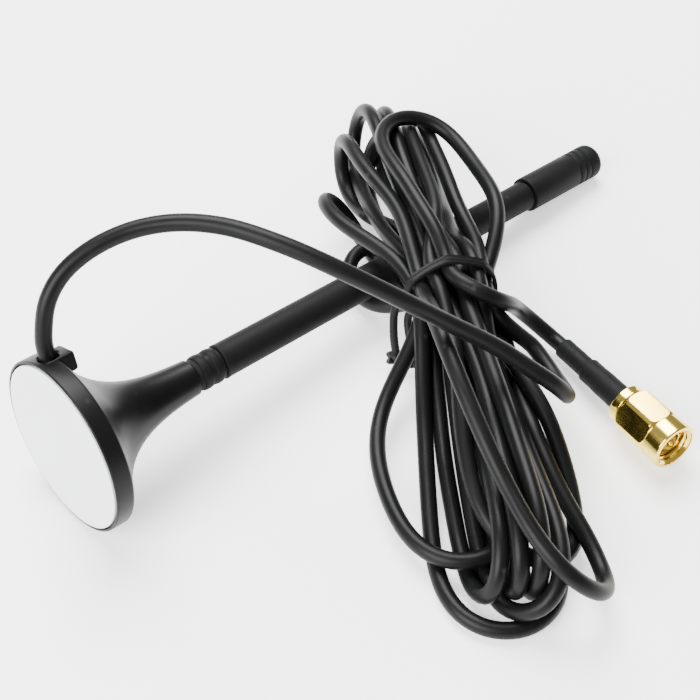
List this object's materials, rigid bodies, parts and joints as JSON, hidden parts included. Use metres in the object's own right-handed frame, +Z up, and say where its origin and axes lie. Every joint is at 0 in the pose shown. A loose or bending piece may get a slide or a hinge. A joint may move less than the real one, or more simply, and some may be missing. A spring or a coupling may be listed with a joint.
{
  "type": "cellular antenna",
  "caption": "Small magnetic-base whip antenna with a flared foot, ribbed mast and cap, a tied hank of coaxial cable and a gold screw-on connector.",
  "frame": {"origin": "middle of the antenna's footprint, on the surface that it lies on; the cord and what is on it don't count", "axes": "+X along the mast from base to tip, +Z up; the antenna lies on its side"},
  "size_m": [0.1254, 0.1033, 0.0474],
  "materials": {
    "black_plastic": "satin moulded ABS",
    "mast_plastic": "matt moulded nylon",
    "pad_film": "white satin film",
    "ferrite": "sintered, dark grey",
    "zinc_steel": "zinc plated",
    "brass": "turned brass",
    "gold_plate": "polished gold flash over brass",
    "copper": "copper and phosphor bronze",
    "ptfe": "translucent white fluoropolymer",
    "nitrile": "black rubber",
    "cable_pvc": "satin black PVC",
    "heat_shrink": "matt black polyolefin",
    "tie_plastic": "black plastic-coated wire"
  },
  "bodies": {
    "base": {"base_housing": "black_plastic", "base_pad": "pad_film", "closing_plate": "zinc_steel", "magnet": "ferrite", "keeper_plate": "zinc_steel", "stud_nut": "zinc_steel", "solder_lug": "copper", "mast_stud": "brass", "cable_stop": "brass", "feed_wire": "copper", "cable_lead": "cable_pvc", "cable_hank": "cable_pvc", "cable_tail": "cable_pvc", "tie_band": "tie_plastic", "tie_tails": "tie_plastic", "heat_shrink_inner": "heat_shrink", "heat_shrink_outer": "heat_shrink", "crimp_ferrule": "brass", "connector_body": "gold_plate", "ptfe_insulator": "ptfe", "centre_pin": "gold_plate", "snap_ring": "copper", "mating_gasket": "nitrile"},
    "mast_seal": {"mast_gasket": "nitrile"},
    "mast": {"mast_ferrule": "mast_plastic", "threaded_insert": "brass", "mast_tube": "mast_plastic", "coil_former": "ptfe", "radiating_coil": "copper", "whip_rod": "zinc_steel", "tip_cap": "mast_plastic"},
    "nut": {"coupling_nut": "gold_plate"}
  },
  "joints": [
    {"name": "mast_lift", "type": "slide", "parent": "base", "child": "mast_seal", "axis": [0.9953, 0, -0.0969], "range_m": [0, 0.003]},
    {"name": "mast_turn", "type": "hinge", "parent": "mast_seal", "child": "mast", "pos_m": [-0.03548, 0, 0.01273], "axis": [0.9953, 0, -0.0969], "range_deg": [0, 2161]},
    {"name": "nut_spin", "type": "hinge", "parent": "base", "child": "nut", "pos_m": [0.0178, -0.0594, 0.0054], "axis": [-0.1341, -0.9885, 0.07], "continuous": true}
  ],
  "couplings": [
    {"joint": "mast_turn", "follows": "mast_lift", "rad_per_m": 12566}
  ]
}
